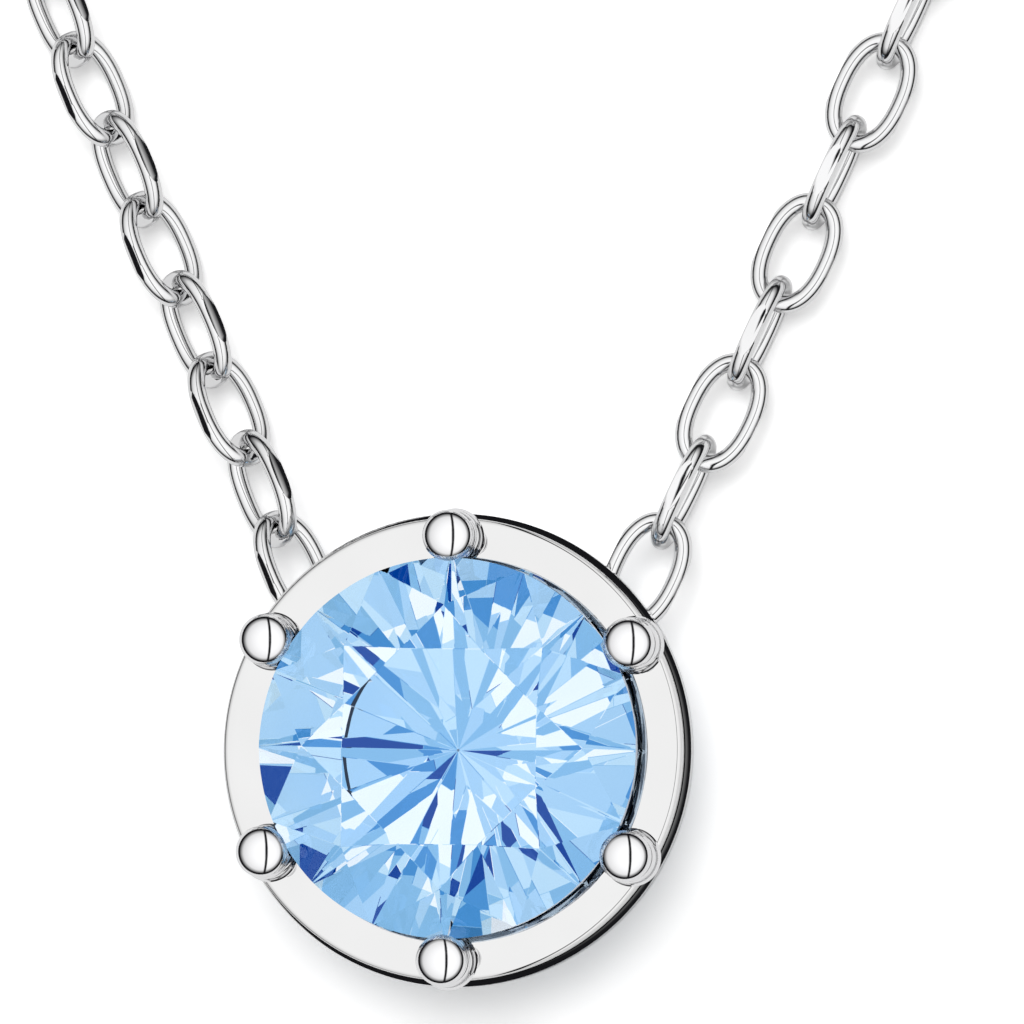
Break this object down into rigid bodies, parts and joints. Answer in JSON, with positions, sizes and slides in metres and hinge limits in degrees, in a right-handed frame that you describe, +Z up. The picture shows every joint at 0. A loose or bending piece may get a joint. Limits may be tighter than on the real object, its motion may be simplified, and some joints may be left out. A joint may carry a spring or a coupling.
{
  "type": "pendant necklace",
  "caption": "Necklace with a round faceted pale blue stone held by ball-tipped prongs over a flat polished ring, on a fine oval cable chain with a spring ring clasp.",
  "frame": {"origin": "on the table, in the middle of the box of the pendant and its separately modelled links", "axes": "+Z up out of the stone's table, +Y from the pendant towards the chain, +X to the wearer's left as the pendant is seen from the front"},
  "size_m": [0.036, 0.037, 0.0042],
  "materials": {
    "setting_metal": "polished",
    "chain_metal": "polished",
    "clasp_metal": "polished",
    "blue_stone": "gloss"
  },
  "bodies": {
    "pendant": {"ring_plate": "setting_metal", "base_ring": "setting_metal", "stone": "blue_stone", "eyelet_left": "setting_metal", "eyelet_right": "setting_metal", "prong_1": "setting_metal", "prong_2": "setting_metal", "prong_3": "setting_metal", "prong_4": "setting_metal", "prong_5": "setting_metal", "prong_6": "setting_metal", "gallery_strut_1": "setting_metal", "gallery_strut_2": "setting_metal", "gallery_strut_3": "setting_metal", "gallery_strut_4": "setting_metal", "gallery_strut_5": "setting_metal", "gallery_strut_6": "setting_metal"},
    "link_left_1": {"chain_link_left_1": "chain_metal"},
    "link_left_2": {"chain_link_left_2": "chain_metal"},
    "link_left_3": {"chain_link_left_3": "chain_metal"},
    "link_left_4": {"chain_link_left_4": "chain_metal"},
    "link_left_5": {"chain_link_left_5": "chain_metal"},
    "link_left_6": {"chain_link_left_6": "chain_metal"},
    "link_left_7": {"chain_link_left_7": "chain_metal"},
    "link_left_8": {"chain_link_left_8": "chain_metal"},
    "strand_left": {"chain_lead_left": "chain_metal", "chain_coil_left": "chain_metal", "chain_tail_left": "chain_metal"},
    "link_right_1": {"chain_link_right_1": "chain_metal"},
    "link_right_2": {"chain_link_right_2": "chain_metal"},
    "link_right_3": {"chain_link_right_3": "chain_metal"},
    "link_right_4": {"chain_link_right_4": "chain_metal"},
    "link_right_5": {"chain_link_right_5": "chain_metal"},
    "link_right_6": {"chain_link_right_6": "chain_metal"},
    "link_right_7": {"chain_link_right_7": "chain_metal"},
    "link_right_8": {"chain_link_right_8": "chain_metal"},
    "strand_right": {"chain_lead_right": "chain_metal", "chain_coil_right": "chain_metal", "chain_tail_right": "chain_metal"},
    "jump_ring": {"jump_ring": "chain_metal"},
    "clasp": {"clasp_body": "clasp_metal", "clasp_loop": "clasp_metal", "clasp_spring": "clasp_metal"},
    "clasp_bolt": {"clasp_bolt": "clasp_metal"},
    "end_ring": {"end_ring": "chain_metal"}
  },
  "joints": [
    {"name": "left_strand_swing", "type": "hinge", "parent": "pendant", "child": "link_left_1", "pos_m": [-0.00281, -0.00228, 0.00112], "axis": [0, 0, 1], "range_deg": [-5, 60]},
    {"name": "left_link_2_hinge", "type": "hinge", "parent": "link_left_1", "child": "link_left_2", "pos_m": [-0.00336, -0.00104, 0.00102], "axis": [0.6099, 0.3676, 0.7021], "range_deg": [-30, 30]},
    {"name": "left_link_3_hinge", "type": "hinge", "parent": "link_left_2", "child": "link_left_3", "pos_m": [-0.00398, 0.00033, 0.00084], "axis": [0.6699, 0.2346, -0.7044], "range_deg": [-30, 30]},
    {"name": "left_link_4_hinge", "type": "hinge", "parent": "link_left_3", "child": "link_left_4", "pos_m": [-0.00461, 0.00171, 0.00071], "axis": [-0.6426, -0.2952, -0.7071], "range_deg": [-30, 30]},
    {"name": "left_link_5_hinge", "type": "hinge", "parent": "link_left_4", "child": "link_left_5", "pos_m": [-0.00523, 0.0031, 0.0007], "axis": [-0.6445, -0.291, 0.7071], "range_deg": [-30, 30]},
    {"name": "left_link_6_hinge", "type": "hinge", "parent": "link_left_5", "child": "link_left_6", "pos_m": [-0.00586, 0.00448, 0.0007], "axis": [0.6445, 0.291, 0.7071], "range_deg": [-30, 30]},
    {"name": "left_link_7_hinge", "type": "hinge", "parent": "link_left_6", "child": "link_left_7", "pos_m": [-0.00648, 0.00587, 0.0007], "axis": [0.6445, 0.291, -0.7071], "range_deg": [-15, 15]},
    {"name": "left_link_8_hinge", "type": "hinge", "parent": "link_left_7", "child": "link_left_8", "pos_m": [-0.00711, 0.00725, 0.0007], "axis": [-0.6445, -0.291, -0.7071], "range_deg": [-15, 15]},
    {"name": "left_strand_hinge", "type": "hinge", "parent": "link_left_8", "child": "strand_left", "pos_m": [-0.00774, 0.00864, 0.0007], "axis": [-0.6445, -0.291, 0.7071], "range_deg": [-15, 15]},
    {"name": "right_strand_swing", "type": "hinge", "parent": "pendant", "child": "link_right_1", "pos_m": [0.00281, -0.00228, 0.00112], "axis": [0, 0, 1], "range_deg": [-60, 5]},
    {"name": "right_link_2_hinge", "type": "hinge", "parent": "link_right_1", "child": "link_right_2", "pos_m": [0.00336, -0.00104, 0.00102], "axis": [0.679, -0.2144, 0.7021], "range_deg": [-30, 30]},
    {"name": "right_link_3_hinge", "type": "hinge", "parent": "link_right_2", "child": "link_right_3", "pos_m": [0.00398, 0.00033, 0.00084], "axis": [0.619, -0.3474, -0.7044], "range_deg": [-30, 30]},
    {"name": "right_link_4_hinge", "type": "hinge", "parent": "link_right_3", "child": "link_right_4", "pos_m": [0.00461, 0.00171, 0.00071], "axis": [-0.6463, 0.2868, -0.7071], "range_deg": [-30, 30]},
    {"name": "right_link_5_hinge", "type": "hinge", "parent": "link_right_4", "child": "link_right_5", "pos_m": [0.00523, 0.0031, 0.0007], "axis": [-0.6445, 0.291, 0.7071], "range_deg": [-30, 30]},
    {"name": "right_link_6_hinge", "type": "hinge", "parent": "link_right_5", "child": "link_right_6", "pos_m": [0.00586, 0.00448, 0.0007], "axis": [0.6445, -0.291, 0.7071], "range_deg": [-30, 30]},
    {"name": "right_link_7_hinge", "type": "hinge", "parent": "link_right_6", "child": "link_right_7", "pos_m": [0.00648, 0.00587, 0.0007], "axis": [0.6445, -0.291, -0.7071], "range_deg": [-15, 15]},
    {"name": "right_link_8_hinge", "type": "hinge", "parent": "link_right_7", "child": "link_right_8", "pos_m": [0.00711, 0.00725, 0.0007], "axis": [-0.6445, 0.291, -0.7071], "range_deg": [-15, 15]},
    {"name": "right_strand_hinge", "type": "hinge", "parent": "link_right_8", "child": "strand_right", "pos_m": [0.00774, 0.00864, 0.0007], "axis": [-0.6445, 0.291, 0.7071], "range_deg": [-15, 15]},
    {"name": "jump_ring_swing", "type": "hinge", "parent": "strand_left", "child": "jump_ring", "pos_m": [-0.00856, 0.01726, 0.00022], "axis": [0.9114, 0.4115, 0], "range_deg": [0, 60]},
    {"name": "clasp_swing", "type": "hinge", "parent": "jump_ring", "child": "clasp", "pos_m": [-0.00932, 0.01894, 0.00069], "axis": [0.9114, 0.4115, 0], "range_deg": [0, 60]},
    {"name": "clasp_bolt_slide", "type": "hinge", "parent": "clasp", "child": "clasp_bolt", "pos_m": [-0.01078, 0.02218, 0.00047], "axis": [0, 0, 1], "range_deg": [-52, 0], "stiffness_Nm_per_rad": 0.002, "springref_deg": 22.92, "deforming": ["clasp_spring"]},
    {"name": "end_ring_swing", "type": "hinge", "parent": "strand_right", "child": "end_ring", "pos_m": [0.00894, 0.01739, 0.00027], "axis": [0.9114, -0.4115, 0], "range_deg": [0, 75]}
  ]
}
